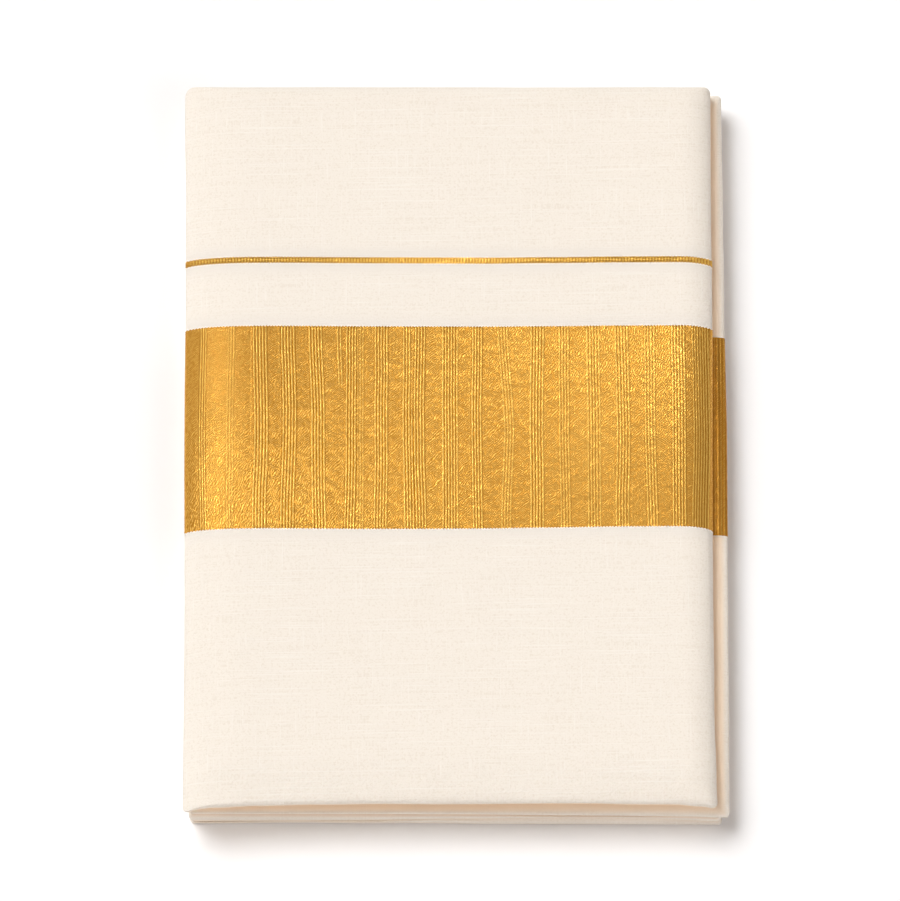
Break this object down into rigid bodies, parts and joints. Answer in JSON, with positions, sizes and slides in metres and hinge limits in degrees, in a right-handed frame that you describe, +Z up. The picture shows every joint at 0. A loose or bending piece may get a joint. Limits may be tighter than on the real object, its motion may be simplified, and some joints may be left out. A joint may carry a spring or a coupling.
{
  "type": "folded kasavu saree",
  "caption": "Kasavu saree of cream cotton folded into a flat packet, with a woven gold band and a thin gold line across it; it lies flat on a table or shelf.",
  "frame": {"origin": "under the middle of the packet's bounding box, on the surface that it lies on", "axes": "+Z up, +Y along the packet's longer side towards its back edge, +X to the right, where the second leaf reaches out past the top one"},
  "size_m": [0.2798, 0.3992, 0.031],
  "materials": {
    "cotton": "unbleached cream handloom cotton, fine plain weave with slubs, matt with a faint sheen",
    "kasavu": "woven gold zari, ribbed along the packet's length, satin metallic gloss"
  },
  "bodies": {
    "root": {"hidden_layers": "cotton", "bottom_leaf": "cotton", "third_leaf": "cotton", "second_leaf_plain_back": "cotton", "second_leaf_band_right": "kasavu", "second_leaf_band_left": "kasavu", "second_leaf_plain_front": "cotton", "top_leaf_plain_back": "cotton", "top_leaf_thin_line": "kasavu", "top_leaf_plain_between": "cotton", "top_leaf_band": "kasavu", "top_leaf_plain_front": "cotton"}
  },
  "joints": []
}
